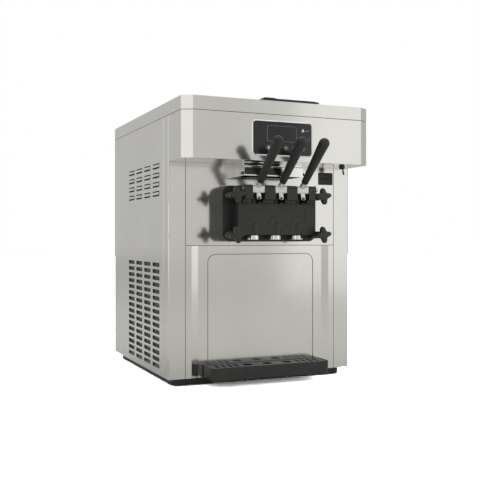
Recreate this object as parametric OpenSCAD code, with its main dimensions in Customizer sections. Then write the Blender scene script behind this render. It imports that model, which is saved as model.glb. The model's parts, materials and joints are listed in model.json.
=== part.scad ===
// Counter-top soft serve machine: two freezing cylinders, three draw valves.
// Millimetres. X runs across the machine, +Y towards its rear, +Z up.
// The counter is at z = 0. Inside the modules y = 0 is the plane of the front panels.

/* [Casing] */
// Width across the side panels
body_w = 540; // [530:1:600]
// Depth of the cabinet from the front panels to the rear panel
body_d = 565; // [560:1:620]
// Height of the top of the deck
deck_top = 748; // [745:1:780]
// Height of the seam under the deck
deck_seam = 713; // [705:1:718]
// Height of the underside of the overhanging head
head_z = 591.5; // [586:0.5:596]
// How far the head stands out in front of the front panels
head_reach = 114.6; // [110:0.2:120]
// Width of the folded facet at each front corner of the head
facet_x = 27.4; // [16:0.2:32]
// Depth of that facet
facet_y = 16.1; // [10:0.1:24]
// Height of the bottom edge of the casing panels
skirt_z = 22; // [20:1:26]
// Thickness of the sheet metal
sheet = 1.5; // [1:0.1:2]
// Width of the seams between panels
seam = 1; // [0.6:0.1:1.5]

/* [Front panels] */
// Half of the width between the corner columns
panel_half = 223; // [220:1:228]
// Height of the seam between the upper and the lower front panel
mid_seam = 372; // [368:1:376]
// Depth of the shallow recess in the lower front panel
recess = 5; // [3:0.5:8]
// Half of the width of the recess at its flat bottom
recess_half = 186; // [180:1:190]
// Width of the sloping sides of the recess
recess_slope = 20; // [10:1:24]

/* [Vents] */
// Length of one slot
slot_l = 65; // [50:1:70]
// Number of slot columns on each side panel
vent_cols = 4; // [3:1:4]
// Distance between the centres of the columns
vent_col_pitch = 82.8; // [75:0.2:85]
// Distance of the first column's centre behind the front panels
vent_first = 110; // [90:1:120]
// Number of rows of open slots low on the panel
low_rows = 16; // [8:1:17]
// Height of one open slot
low_slot_h = 11; // [6:0.5:12]
// Distance between the rows of open slots
low_pitch = 18.3; // [16:0.1:18.5]
// Number of rows of bridged louvres high on the panel
high_rows = 4; // [2:1:4]
// Distance between the rows of bridged louvres
high_pitch = 25; // [20:0.5:26]

/* [Dispensing head] */
// Distance between neighbouring handles
handle_pitch = 64; // [60:1:66]
// How far the handles' pivot pin is in front of the front panels
pivot_out = 106; // [104:0.5:108]
// Height of the pivot pin
pivot_z = 518; // [516:0.5:520]
// Radius of the pivot pin
pin_r = 4; // [3:0.5:5]
// Angle of a handle above the horizontal when it is at rest
handle_tilt = 41.5; // [35:0.5:50]
// How far a handle is pulled, in degrees
handle_pull = 42; // [30:1:42]
// Radius of a draw valve
valve_r = 11; // [9:0.5:11.5]
// How far the draw valves' centre line is in front of the front panels
valve_out = 77; // [76:0.5:78]
// Radius of the tips of the star knobs
knob_r = 22; // [18:0.5:22]

/* [Freezing and drive] */
// Height of the freezing cylinders' axes
barrel_z = 455; // [450:1:460]
// Inside radius of a freezing cylinder
barrel_r = 42; // [38:0.5:44]
// Length of a freezing cylinder
barrel_l = 255; // [220:1:260]
// Radius of the gearbox pulley
driven_r = 52; // [40:1:56]
// Radius of the motor pulley
driver_r = 26; // [20:1:30]
// Radius of the condenser fan
fan_r = 118; // [100:1:125]

/* [Hoppers] */
// Width of a hopper
hopper_w = 184; // [160:1:190]
// Length of a hopper from front to rear
hopper_l = 332; // [280:1:340]
// Height of a hopper's floor
hopper_z = 570; // [560:1:600]
// Height of the deep cover above the deck
cover_h = 39; // [30:1:45]

/* [Hidden] */
$fn = 64;
steel = [0.72, 0.71, 0.68];
bright = [0.80, 0.80, 0.78];
black = [0.16, 0.16, 0.15];
rubber = [0.10, 0.10, 0.10];
copper = [0.72, 0.43, 0.28];
foam = [0.90, 0.87, 0.74];
white = [0.92, 0.92, 0.90];

half_w = body_w / 2;
run_gap = 0.05;                       // radial clearance of a shaft in its hole
panel_top = head_z - seam;            // top edge of what ends under the head
handle_xs = [-handle_pitch, 0, handle_pitch];
knob_x = 125;
knob_zs = [503, 400.5];
stud_r = 5;

// A handle's grip, measured along its own line from the point nearest the pivot.
grip_start = 26;
grip_end = 178.4;
grip_base_r = 9.2;
grip_tip_r = 13.5;
grip_rise = 2.3;                      // the line passes this far above the pivot
hub_half = 16.5;
hub_side = 20;

// The lever's rear finger swings as far below the horizontal as above it.
finger_drop = handle_pull / 2;
finger_r = 4;
finger_l = (pivot_out - valve_out) / cos(finger_drop);
slot_z = pivot_z - finger_l * sin(finger_drop);

// The door's flange, its front block and the outlets under it.
flange_half = 138;
flange_z = [383, 530];
flange_out = 49;
block_half = 111;
block_z = [400.5, 488];
block_out = 90.75;
bulge_r = 17;
bulge_z = 424;
spout_r = 13.5;
spout_z = 393;

hopper_x = 123;                       // centre of the right hopper
hopper_y = 226;
hopper_r = 20;
rim_h = 2;
lid_z = deck_top + rim_h + 0.3;
feed_y = 226;
belt_y = [350, 366];
gearbox_y = [262, 330];
motor_z = 292;
motor_r = 62;
fan_x = 100;
fan_z = 185;
gland_out = 18;
tray_half = 172.5;
tray_y = [-65, recess - 0.5];
tray_z = [21, 55];
rocker_x = [174.6, 218.8];
rocker_z = [542.7, 577.2];
toggle_at = [217, -57];
screen_x = [-80, 89];
screen_z = [608, 693.5];
bend_r = 8;                            // middle line of a pipe bend
low_first = 45;
high_first = 512.7;
lamp_half = 86;
lamp_y = [-72, -0.5];
lamp_z = [556, head_z];
rocker_mid = [(rocker_x[0] + rocker_x[1]) / 2, (rocker_z[0] + rocker_z[1]) / 2];
line_w = 2.2;                          // width of the line pressed into the lower panel
lug_end = 102.5;
lug_spans = [
    [-lug_end, -handle_pitch - hub_half - 0.5], [hub_half + 0.5 - handle_pitch, -hub_half - 0.5],
    [hub_half + 0.5, handle_pitch - hub_half - 0.5], [handle_pitch + hub_half + 0.5, lug_end]
];
barrel_wall = 2.5;
barrel_out = barrel_r + barrel_wall;
plate_back = sheet + 7;
feed_r = 12;
compressor_at = [-150, 400];

// The row's origin is under the middle of the whole machine, handles included.
tip_u = grip_end - grip_tip_r;
front_reach = pivot_out + tip_u * cos(handle_tilt) - grip_rise * sin(handle_tilt) + grip_tip_r;
rear_reach = body_d + gland_out;

// ---- Shared shapes -------------------------------------------------------------

module span(from, to) {
    translate(from) cube(to - from);
}

// A drawing extruded along one axis, between two planes.
module plate_x(x0, x1) {
    translate([x0, 0, 0]) rotate([90, 0, 90]) linear_extrude(x1 - x0) children();
}

module plate_y(y0, y1) {
    translate([0, y1, 0]) rotate([90, 0, 0]) linear_extrude(y1 - y0) children();
}

module plate_z(z0, z1) {
    translate([0, 0, z0]) linear_extrude(z1 - z0) children();
}

module rod_x(x0, x1, at, r) {
    plate_x(x0, x1) translate(at) circle(r);
}

module rod_y(y0, y1, at, r) {
    plate_y(y0, y1) translate(at) circle(r);
}

module rod_z(z0, z1, at, r) {
    plate_z(z0, z1) translate(at) circle(r);
}

module rounded_window(from, to, r) {
    translate([from[0] + r, from[1]]) square([to[0] - from[0] - 2 * r, to[1] - from[1]]);
    translate([from[0], from[1] + r]) square([to[0] - from[0], to[1] - from[1] - 2 * r]);
    for (x = [from[0] + r, to[0] - r], y = [from[1] + r, to[1] - r])
        translate([x, y]) circle(r);
}

module slot(l, h) {
    square([l - h, h], center = true);
    for (x = [-1, 1]) translate([x * (l - h) / 2, 0]) circle(h / 2, $fn = 24);
}

module both_sides() {
    children();
    mirror([1, 0, 0]) children();
}

// Plan of the head: square at the rear, a folded facet at each front corner.
module head_plan(inset, y_back) {
    facet = norm([facet_x, facet_y]);
    side = half_w - inset;
    front = inset - head_reach;
    facet_end = half_w - facet_x - inset * (facet - facet_x) / facet_y;
    facet_start = facet_y - head_reach + inset * (facet - facet_y) / facet_x;
    polygon([
        [-side, y_back], [-side, facet_start], [-facet_end, front],
        [facet_end, front], [side, facet_start], [side, y_back]
    ]);
}

// ---- Base and frame ------------------------------------------------------------

module base_plinth() {
    inset = 17;
    wall = 4;
    color(black) difference() {
        plate_z(2, skirt_z) rounded_window([inset - half_w, inset], [half_w - inset, body_d - inset], 16);
        plate_z(1, skirt_z + 1)
            rounded_window([inset + wall - half_w, inset + wall],
                [half_w - inset - wall, body_d - inset - wall], 12);
    }
}

module rubber_feet() {
    color(rubber) for (x = [-1, 1], y = [60, body_d - 60])
        translate([x * (half_w - 60), y, 0]) {
            cylinder(h = skirt_z - 8, r1 = 20, r2 = 16);
            translate([0, 0, skirt_z - 8]) cylinder(h = 10, r = 9);
        }
}

module corner_post() {
    plate_z(skirt_z + 2, deck_seam - 4) {
        square([30, 3]);
        square([3, 30]);
    }
}

module chassis_frame() {
    x = half_w - 4;
    y = body_d - 4;
    top = deck_seam - 4;
    pan_front = 14;
    color(steel) {
        difference() {
            span([-x, pan_front, skirt_z], [x, y, skirt_z + 2]);
            for (s = [-1, 1], fy = [60, body_d - 60])
                rod_z(skirt_z - 1, skirt_z + 3, [s * (half_w - 60), fy], 9);
        }
        both_sides() {
            translate([x, 4, 0]) mirror([1, 0, 0]) corner_post();
            translate([x, y, 0]) mirror([1, 0, 0]) mirror([0, 1, 0]) corner_post();
            span([x - 2, pan_front, skirt_z + 2], [x, y, skirt_z + 20]);
            for (z = [388, top]) span([x - 3, 34, z - 20], [x, y - 30, z]);
        }
        // Rails across, and the shelf for the cylinders, the gearbox and the motor.
        for (rail = [60, 300]) span([-x, rail, 368], [x, rail + 3, 388]);
        for (rail = [40, 402]) span([-x, rail, top - 20], [x, rail + 3, top]);
        span([-125, 34, 388], [125, 342, 391]);
    }
}

// ---- Casing --------------------------------------------------------------------

module side_vents() {
    for (c = [0 : vent_cols - 1]) {
        y = vent_first + c * vent_col_pitch;
        for (r = [0 : low_rows - 1]) translate([y, low_first + r * low_pitch]) slot(slot_l, low_slot_h);
        for (r = [0 : high_rows - 1]) translate([y, high_first + r * high_pitch]) slot(slot_l, 14);
    }
}

// A strip pressed outwards over the middle of its slot.
module vent_bridge() {
    rise = 2.5;
    end = slot_l / 2;
    plate_z(-3.5, 3.5) polygon([
        [-sheet, -end - 2], [0, -end - 2], [rise, 5 - end], [rise, end - 5], [0, end + 2],
        [-sheet, end + 2], [rise - sheet, end - 6], [rise - sheet, 6 - end]
    ]);
}

module side_panel() {
    plate_x(half_w - sheet, half_w) difference() {
        translate([0, skirt_z]) square([body_d, deck_seam - seam - skirt_z]);
        side_vents();
    }
    span([panel_half + seam / 2, 0, skirt_z], [half_w - sheet, sheet, panel_top]);
    span([half_w - 14, body_d - sheet * 2, skirt_z], [half_w - sheet, body_d - sheet, deck_seam - seam]);
    for (c = [0 : vent_cols - 1], r = [0 : high_rows - 1])
        translate([half_w, vent_first + c * vent_col_pitch, high_first + r * high_pitch]) vent_bridge();
}

module left_side_panel() {
    color(steel) mirror([1, 0, 0]) side_panel();
}

module right_side_panel() {
    color(steel) side_panel();
}

module rear_panel() {
    x = half_w - sheet - 0.5;
    color(steel) plate_y(body_d - sheet, body_d) difference() {
        translate([-x, skirt_z]) square([2 * x, deck_seam - seam - skirt_z]);
        for (c = [-1, 0, 1], r = [0 : 14])
            translate([fan_x + c * 84, 56 + r * 18.3]) slot(72, low_slot_h);
        for (c = [-1, 0, 1], r = [0 : 3]) translate([c * 110, 560 + r * 22]) slot(90, 9);
        translate([-200, 90]) circle(13);
        for (s = [-1, 1], z = [60, 260, 460, 660]) translate([s * (x - 8), z]) circle(2.2, $fn = 24);
    }
}

module upper_front_panel() {
    x = panel_half - seam / 2;
    color(steel) {
        plate_y(0, sheet) difference() {
            translate([-x, mid_seam + seam / 2]) square([2 * x, panel_top - mid_seam - seam / 2]);
            rounded_window([-132, 389], [132, 524], 10);
            translate([rocker_x[0] + 3, rocker_z[0] + 3])
                square([rocker_x[1] - rocker_x[0] - 6, rocker_z[1] - rocker_z[0] - 6]);
        }
        both_sides() span([x - sheet, sheet, mid_seam + seam / 2], [x, 12, panel_top]);
        span([-x, sheet, mid_seam + seam / 2], [x, 12, mid_seam + seam / 2 + sheet]);
    }
}

// Line pressed into the lower panel, square to it, open at the bottom.
module pressed_line(half, top, r) {
    difference() {
        rounded_window([-half, 0], [half, top], r);
        rounded_window([line_w - half, -2], [half - line_w, top - line_w], r - line_w);
    }
}

module lower_front_panel() {
    x = panel_half - seam / 2;
    slope_x = recess_half + recess_slope;
    color(steel) difference() {
        union() {
            plate_z(skirt_z, mid_seam - seam / 2) polygon([
                [-x, 0], [-slope_x, 0], [-recess_half, recess], [recess_half, recess],
                [slope_x, 0], [x, 0], [x, sheet], [slope_x - 0.5, sheet],
                [recess_half - 0.5, recess + sheet], [0.5 - recess_half, recess + sheet],
                [0.5 - slope_x, sheet], [-x, sheet]
            ]);
            both_sides() span([x - sheet, sheet, skirt_z], [x, 12, mid_seam - seam / 2]);
        }
        translate([0, recess, 0]) plate_y(-1, 0.9) intersection() {
            pressed_line(159.5, 349.6, 24);
            translate([-200, skirt_z + 6]) square([400, 400]);
        }
        both_sides() span([100, recess - 1, 31], [126, recess + 3, 37]);
    }
}

module head_canopy() {
    color(steel) difference() {
        plate_z(head_z, deck_seam - seam) head_plan(0, 0);
        plate_z(head_z + sheet, deck_seam) head_plan(sheet, 1);
        plate_y(-head_reach - 1, -head_reach + 3)
            rounded_window([screen_x[0] + 6, screen_z[0] + 6], [screen_x[1] - 6, screen_z[1] - 6], 4);
        rod_z(head_z - 1, head_z + 3, toggle_at, 6.1);
    }
}

module top_deck() {
    color(steel) difference() {
        union() {
            plate_z(deck_seam, deck_top) head_plan(0, body_d);
            // Lip that drops inside the panels.
            plate_z(deck_seam - 7, deck_seam + 1) head_plan(sheet + 0.2, body_d - 10);
        }
        plate_z(deck_seam - 8, deck_seam + 1) head_plan(2 * sheet + 0.2, body_d - 9);
        plate_z(deck_seam + 0.8, deck_top - sheet) head_plan(sheet, body_d - sheet);
        both_sides() plate_z(deck_top - 5, deck_top + 1) hopper_plan(0.2);
    }
}

// ---- Controls ------------------------------------------------------------------

module display_bezel() {
    front = -head_reach - 1.6;
    color(bright) plate_y(front, -head_reach) difference() {
        rounded_window([screen_x[0] - 1.5, screen_z[0] - 1.5], [screen_x[1] + 1.5, screen_z[1] + 1.5], 10);
        rounded_window([screen_x[0], screen_z[0]], [screen_x[1], screen_z[1]], 8.5);
    }
}

module touch_panel() {
    color(black) {
        plate_y(-head_reach - 1.2, -head_reach)
            rounded_window([screen_x[0], screen_z[0]], [screen_x[1], screen_z[1]], 8.5);
        plate_y(-head_reach, -head_reach + 8)
            rounded_window([screen_x[0] + 6, screen_z[0] + 6], [screen_x[1] - 6, screen_z[1] - 6], 4);
    }
}

module lamp_window() {
    rounded_window([3 - lamp_half, lamp_z[0] + 3], [22, 578], 3);
}

module lamp_strip() {
    rounded_window([3 - lamp_half, 584.2], [22, 590.2], 1.2);
}

module lamp_housing() {
    color(bright) difference() {
        union() {
            plate_x(-lamp_half, lamp_half) polygon([
                [lamp_y[0], lamp_z[0]], [lamp_y[1], lamp_z[0]], [lamp_y[1], lamp_z[1]],
                [lamp_y[0] + 8, lamp_z[1]], [lamp_y[0] + 8, 583], [lamp_y[0], 580]
            ]);
            both_sides() plate_y(lamp_y[0], lamp_y[0] + 3)
                polygon([[lamp_half, lamp_z[0]], [97, 561], [lamp_half, 572]]);
        }
        plate_x(2 - lamp_half, lamp_half - 2) polygon([
            [lamp_y[0] + 2, lamp_z[0] + 2], [lamp_y[1] - 2, lamp_z[0] + 2], [lamp_y[1] - 2, lamp_z[1] - 2],
            [lamp_y[0] + 10, lamp_z[1] - 2], [lamp_y[0] + 10, 582], [lamp_y[0] + 2, 579]
        ]);
        plate_y(lamp_y[0] - 1, lamp_y[0] + 3) lamp_window();
        plate_y(lamp_y[0] + 7, lamp_y[0] + 11) lamp_strip();
        span([3 - lamp_half, lamp_y[0] + 3, lamp_z[0] - 1], [lamp_half - 3, lamp_y[1] - 3, lamp_z[0] + 3]);
    }
}

module lamp_lens() {
    color(black) {
        plate_y(lamp_y[0] + 0.6, lamp_y[0] + 2) lamp_window();
        span([3 - lamp_half, lamp_y[0] + 2, lamp_z[0] + 2.5], [24, lamp_y[0] + 4, 578.5]);
        plate_y(lamp_y[0] + 8.4, lamp_y[0] + 10) lamp_strip();
        span([4 - lamp_half, lamp_y[0] + 10, 583.5], [21, lamp_y[0] + 11.5, 589]);
        // The plate that closes the underside.
        span([3.3 - lamp_half, lamp_y[0] + 3.3, lamp_z[0] + 0.4],
            [lamp_half - 3.3, lamp_y[1] - 3.3, lamp_z[0] + 2.7]);
    }
}

module rocker_housing() {
    color(black) difference() {
        union() {
            plate_y(-2.5, 0) rounded_window([rocker_x[0], rocker_z[0]], [rocker_x[1], rocker_z[1]], 2);
            span([rocker_x[0] + 3.2, 0, rocker_z[0] + 3.2], [rocker_x[1] - 3.2, 22, rocker_z[1] - 3.2]);
        }
        for (s = [0, 1]) span([rocker_mid[0] - 18, -3, rocker_mid[1] - 13.5 + s * 14],
            [rocker_mid[0] + 18, 12, rocker_mid[1] - 0.5 + s * 14]);
    }
}

// A rocker turns about an upright axis through its middle, one end pressed in at rest.
module rocker(z0) {
    color(black) translate([rocker_mid[0], 2, z0]) rotate([0, 0, -6]) difference() {
        plate_z(0.4, 12.6) polygon([[-17, -4], [0, -2.2], [17, -4], [16, 4], [4, 7], [-4, 7], [-16, 4]]);
        for (x = [-12, 12]) rod_z(3, 10, [x, -6.2], 2.6);
    }
}

module upper_rocker() {
    rocker(rocker_mid[1] + 0.5);
}

module lower_rocker() {
    rocker(rocker_mid[1] - 13.5);
}

module toggle_body() {
    color(black) difference() {
        translate([toggle_at[0], toggle_at[1], 0]) {
            translate([0, 0, head_z - 5]) cylinder(h = 9, r = 6);
            translate([0, 0, head_z - 8]) cylinder(h = 5.5, r1 = 6.6, r2 = 8.4);
            translate([0, 0, head_z - 3]) cylinder(h = 3, r = 9, $fn = 6);
            translate([-8, -10, head_z + sheet + 2.5]) cube([16, 20, 24]);
        }
        rod_z(head_z - 9, head_z + 12, toggle_at, 4);
        translate([toggle_at[0], toggle_at[1], head_z - 9]) cylinder(h = 7, r1 = 5.6, r2 = 3.9);
    }
}

module toggle_lever() {
    color(black) translate([toggle_at[0], toggle_at[1], head_z + 4]) rotate([0, -12, 0]) {
        translate([0, 0, -26]) cylinder(h = 26, r1 = 2.6, r2 = 1.3);
        sphere(r = 2.6, $fn = 32);
        translate([0, 0, -26]) sphere(r = 2.6, $fn = 32);
    }
}

// ---- Dispensing door -----------------------------------------------------------

module stud_places() {
    for (x = [-knob_x, knob_x], z = knob_zs) translate([x, 0, z]) children();
}

module lug(from, to) {
    plate_x(from, to) {
        translate([-pivot_out, pivot_z]) circle(11.5);
        translate([-pivot_out, block_z[1] - 4]) square([pivot_out - flange_out, pivot_z - block_z[1] + 4]);
        translate([-pivot_out, pivot_z]) square([50, 11.5]);
        translate([-pivot_out - 11.5, block_z[1] + 4]) square([14, pivot_z - block_z[1] - 4]);
    }
}

module door_body() {
    color(black) difference() {
        union() {
            plate_y(-flange_out, 0)
                rounded_window([-flange_half, flange_z[0]], [flange_half, flange_z[1]], 22);
            plate_y(0, sheet) rounded_window([-131, 390], [131, 523], 9);
            plate_y(-block_out, -flange_out + 1)
                rounded_window([-block_half, block_z[0]], [block_half, block_z[1]], 7);
            for (l = lug_spans) lug(l[0], l[1]);
            for (x = handle_xs) {
                rod_z(block_z[0], bulge_z, [x, -valve_out], bulge_r);
                translate([x, -valve_out, bulge_z]) sphere(r = bulge_r);
                rod_z(spout_z, block_z[0] + 1, [x, -valve_out], spout_r);
            }
        }
        // A shallow recess across the front, which the outlets' arches rise into.
        plate_y(-block_out - 1, -block_out + 1.2) difference() {
            rounded_window([-86, 427], [86, 468], 3);
            for (x = handle_xs) translate([x, bulge_z]) circle(r = 24);
        }
        for (x = handle_xs) {
            rod_z(spout_z - 1, block_z[1] + 60, [x, -valve_out], valve_r + run_gap);
            rod_y(-valve_out, -18, [x, 412], 7.5);
            span([x - 10, -pivot_out - 12, block_z[1] - 6], [x + 10, -valve_out, block_z[1] + 1]);
        }
        for (x = [-handle_pitch, handle_pitch]) rod_y(-20, sheet + 1, [x, barrel_z], barrel_r);
        rod_y(-20, -8, [0, 412], 9);
        rod_x(-handle_pitch, handle_pitch, [-14, 418], 5);
        rod_x(-107, 107, [-pivot_out, pivot_z], pin_r + run_gap);
        stud_places() rod_y(-flange_out - 1, sheet + 1, [0, 0], stud_r + 0.4);
    }
}

module door_seals() {
    color(rubber) for (x = [-handle_pitch, handle_pitch]) plate_y(sheet, sheet + 2.5)
        translate([x, barrel_z]) difference() {
            circle(barrel_r + 5);
            circle(barrel_r + 0.5);
        }
}

module door_studs() {
    color(bright) stud_places() {
        rod_y(-116, 8.5, [0, 0], stud_r);
        rod_y(8.5, 15, [0, 0], 9);
    }
}

// Star knob: four lobes on a long sleeve, turned on its stud.
module star_knob(x, z) {
    lobe_r = 6;
    head = [-124, -111];
    color(black) translate([x, 0, z]) difference() {
        union() {
            plate_y(head[0], head[1]) rotate(10) {
                circle(13);
                for (a = [0 : 90 : 270]) rotate(a) {
                    translate([knob_r - lobe_r, 0]) circle(lobe_r);
                    translate([0, -lobe_r]) square([knob_r - lobe_r, 2 * lobe_r]);
                }
            }
            rod_y(head[1], -flange_out - 0.3, [0, 0], 9.5);
        }
        rod_y(-117, -flange_out + 1, [0, 0], stud_r + run_gap);
    }
}

module upper_left_knob() {
    star_knob(-knob_x, knob_zs[0]);
}

module lower_left_knob() {
    star_knob(-knob_x, knob_zs[1]);
}

module upper_right_knob() {
    star_knob(knob_x, knob_zs[0]);
}

module lower_right_knob() {
    star_knob(knob_x, knob_zs[1]);
}

module pivot_pin() {
    color(bright) {
        bend_x = lug_end + 6;
        rod_x(-lug_end - 1, bend_x, [-pivot_out, pivot_z], pin_r);
        translate([bend_x, -pivot_out, pivot_z]) sphere(r = pin_r, $fn = 32);
        rod_z(pivot_z, pivot_z + 14, [bend_x, -pivot_out], pin_r);
        rod_x(-lug_end - 3, -lug_end - 0.3, [-pivot_out, pivot_z], pin_r + 0.9);
    }
}

// Star-shaped outlet caps pushed on the spouts.
module nozzle_caps() {
    color(bright) for (x = handle_xs) translate([x, -valve_out, 0]) difference() {
        plate_z(388, 399) circle(spout_r + 2.8);
        plate_z(391, 400) circle(spout_r);
        plate_z(387, 392) for (a = [0 : 60 : 300]) rotate(a)
            polygon([[0, -2.6], [10.5, 0], [0, 2.6]]);
    }
}

// ---- Handles and draw valves ---------------------------------------------------

// Draws its children in the frame of a handle: u along the grip, v square to it.
module along_grip(x) {
    translate([x, -pivot_out, pivot_z]) rotate([90 - handle_tilt, 0, 0]) children();
}

module lever(x) {
    color(bright) difference() {
        union() {
            plate_x(x - hub_half, x + hub_half)
                rounded_window([-pivot_out - hub_side / 2, pivot_z - hub_side / 2],
                    [-pivot_out + hub_side / 2, pivot_z + hub_side / 2], 4);
            // Tongue with the screw that sets how far the handle pulls.
            translate([0, -pivot_out, pivot_z]) rotate([-12, 0, 0])
                plate_y(-6.5, -1.5) rounded_window([x - 6, -28], [x + 6, 0], 4);
            translate([0, -pivot_out, pivot_z]) rotate([-12, 0, 0]) rod_y(-9.5, 1, [x, -21], 3);
            // Finger that lifts the draw valve.
            translate([x, -pivot_out, pivot_z]) rotate([-finger_drop, 0, 0]) {
                span([-5, 0, -2.6], [5, finger_l, 2.6]);
                rod_x(-5, 5, [finger_l, 0], finger_r);
            }
            along_grip(x) translate([0, grip_rise, 0]) cylinder(h = grip_start + 20, r = 5);
            along_grip(x) translate([0, grip_rise, 12]) cylinder(h = grip_start - 12, r1 = 8, r2 = 6.5);
        }
        rod_x(x - 20, x + 20, [-pivot_out, pivot_z], pin_r + run_gap);
    }
}

module grip(x) {
    color(black) along_grip(x) translate([0, grip_rise, 0]) difference() {
        rotate_extrude() {
            polygon([[0, grip_start], [grip_base_r, grip_start], [grip_tip_r, tip_u], [0, tip_u]]);
            intersection() {
                translate([0, tip_u]) circle(grip_tip_r);
                translate([0, tip_u]) square(grip_tip_r);
            }
        }
        translate([0, 0, grip_start - 1]) cylinder(h = 21, r = 5);
    }
}

module draw_valve(x) {
    bottom = 399;
    top = 521;
    groove = [[438, 441], [468, 471]];
    color(black) difference() {
        rod_z(bottom, top, [x, -valve_out], valve_r);
        plate_x(x - 12, x + 12) polygon([
            [-valve_out - 12, slot_z - 8.6], [-valve_out - 2, slot_z - finger_r - 0.7],
            [-valve_out + 8.5, slot_z - finger_r - 0.7], [-valve_out + 8.5, slot_z + finger_r + 0.7],
            [-valve_out - 2, slot_z + finger_r + 0.7], [-valve_out - 12, slot_z + 8.6]
        ]);
        for (g = groove) plate_z(g[0], g[1]) translate([x, -valve_out]) valve_ring(valve_r + 1);
    }
    color(rubber) for (g = groove) plate_z(g[0], g[1]) translate([x, -valve_out]) valve_ring(valve_r);
}

module valve_ring(r) {
    difference() {
        circle(r);
        circle(valve_r - 2);
    }
}

module left_lever() {
    lever(handle_xs[0]);
}

module centre_lever() {
    lever(handle_xs[1]);
}

module right_lever() {
    lever(handle_xs[2]);
}

module left_grip() {
    grip(handle_xs[0]);
}

module centre_grip() {
    grip(handle_xs[1]);
}

module right_grip() {
    grip(handle_xs[2]);
}

module left_draw_valve() {
    draw_valve(handle_xs[0]);
}

module centre_draw_valve() {
    draw_valve(handle_xs[1]);
}

module right_draw_valve() {
    draw_valve(handle_xs[2]);
}

// ---- Freezing cylinders --------------------------------------------------------

module freezing_cylinders() {
    color(bright) difference() {
        union() {
            plate_y(sheet + 2.5, plate_back) rounded_window([-142, 381], [142, 531], 6);
            for (x = [-handle_pitch, handle_pitch]) {
                rod_y(sheet + 2.5, barrel_l, [x, barrel_z], barrel_out);
                rod_y(barrel_l, barrel_l + 6.5, [x, barrel_z], 18);
                rod_z(barrel_z, hopper_z, [x, feed_y], feed_r);
            }
        }
        for (x = [-handle_pitch, handle_pitch]) {
            rod_y(sheet, barrel_l - 5, [x, barrel_z], barrel_r);
            rod_y(barrel_l - 6, barrel_l + 8, [x, barrel_z], 10 + run_gap);
            rod_z(barrel_z, hopper_z + 1, [x, feed_y], feed_r - 2);
        }
        stud_places() rod_y(0, plate_back + 1, [0, 0], stud_r);
    }
}

module cylinder_insulation() {
    color(foam) difference() {
        span([-115, plate_back + 8, 391], [115, barrel_l, 512]);
        for (x = [-handle_pitch, handle_pitch]) {
            rod_y(0, barrel_l + 1, [x, barrel_z], barrel_out);
            rod_z(barrel_z, 513, [x, feed_y], feed_r);
        }
    }
}

// Shaft carrying two scraper bars on arms, and slanting discs that push the mix forward.
module beater(x) {
    reach = barrel_r - 0.6;
    color(white) translate([x, 0, barrel_z]) {
        rod_y(-12, gearbox_y[0] + 22, [0, 0], 9.9);
        for (s = [-1, 1]) span([-3, 12, s * (reach - 4) - 3.5], [3, barrel_l - 12, s * (reach - 4) + 3.5]);
        for (y = [14, 120, barrel_l - 20]) span([-3, y, -reach + 4], [3, y + 8, reach - 4]);
        for (y = [50, 90, 160, 200]) translate([0, y, 0]) rotate([0, 0, 18]) rod_y(-2, 2, [0, 0], 32);
    }
}

module left_beater() {
    beater(-handle_pitch);
}

module right_beater() {
    beater(handle_pitch);
}

// ---- Drive ---------------------------------------------------------------------

module gearbox() {
    color(steel) difference() {
        union() {
            plate_y(gearbox_y[0], gearbox_y[1]) rounded_window([-104, 410], [104, 500], 12);
            rod_y(gearbox_y[1], gearbox_y[1] + 8, [0, barrel_z], 22);
            both_sides() span([80, gearbox_y[0] + 6, 391], [104, gearbox_y[1] - 6, 411]);
        }
        for (x = [-handle_pitch, handle_pitch])
            rod_y(gearbox_y[0] - 1, gearbox_y[0] + 26, [x, barrel_z], 10);
        rod_y(gearbox_y[1] - 30, gearbox_y[1] + 9, [0, barrel_z], 8 + run_gap);
    }
}

// V-grooved pulley on its shaft; y_in is where the shaft ends inside the housing.
module pulley(z, r, y_in) {
    y0 = belt_y[0];
    y1 = belt_y[1];
    color(steel) {
        translate([0, y0, z]) rotate([-90, 0, 0]) rotate_extrude() polygon([
            [7, 0], [r + 4, 0], [r + 4, 1.5], [r - 4, 4.5], [r - 4, 11.5], [r + 4, 14.5], [r + 4, 16], [7, 16]
        ]);
        rod_y(y_in, y1 + 6, [0, z], 8);
    }
}

module gearbox_pulley() {
    pulley(barrel_z, driven_r, gearbox_y[1] - 28);
}

module motor_pulley() {
    pulley(motor_z, driver_r, 318);
}

// Loop round two pulleys, one above the other.
module belt_loop(low_r, high_r) {
    reach = barrel_z - motor_z;
    lean = asin((high_r - low_r) / reach);
    translate([0, motor_z]) circle(low_r);
    translate([0, barrel_z]) circle(high_r);
    low = [low_r * cos(lean), motor_z - low_r * sin(lean)];
    high = [high_r * cos(lean), barrel_z - high_r * sin(lean)];
    polygon([low, high, [-high[0], high[1]], [-low[0], low[1]]]);
}

module drive_belt() {
    color(rubber) plate_y(belt_y[0] + 5, belt_y[0] + 11) difference() {
        belt_loop(driver_r + 3.5, driven_r + 3.5);
        belt_loop(driver_r - 3.5, driven_r - 3.5);
    }
}

module beater_motor() {
    color(steel) difference() {
        union() {
            rod_y(140, 332, [0, motor_z], motor_r);
            rod_y(130, 140, [0, motor_z], motor_r - 8);
            rod_y(332, 342, [0, motor_z], 22);
            for (y = [170, 270]) span([-70, y, motor_z + 40], [70, y + 12, 388]);
            span([30, 200, motor_z + 30], [78, 270, motor_z + 62]);
        }
        rod_y(316, 343, [0, motor_z], 8 + run_gap);
    }
}

// ---- Refrigeration -------------------------------------------------------------

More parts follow.
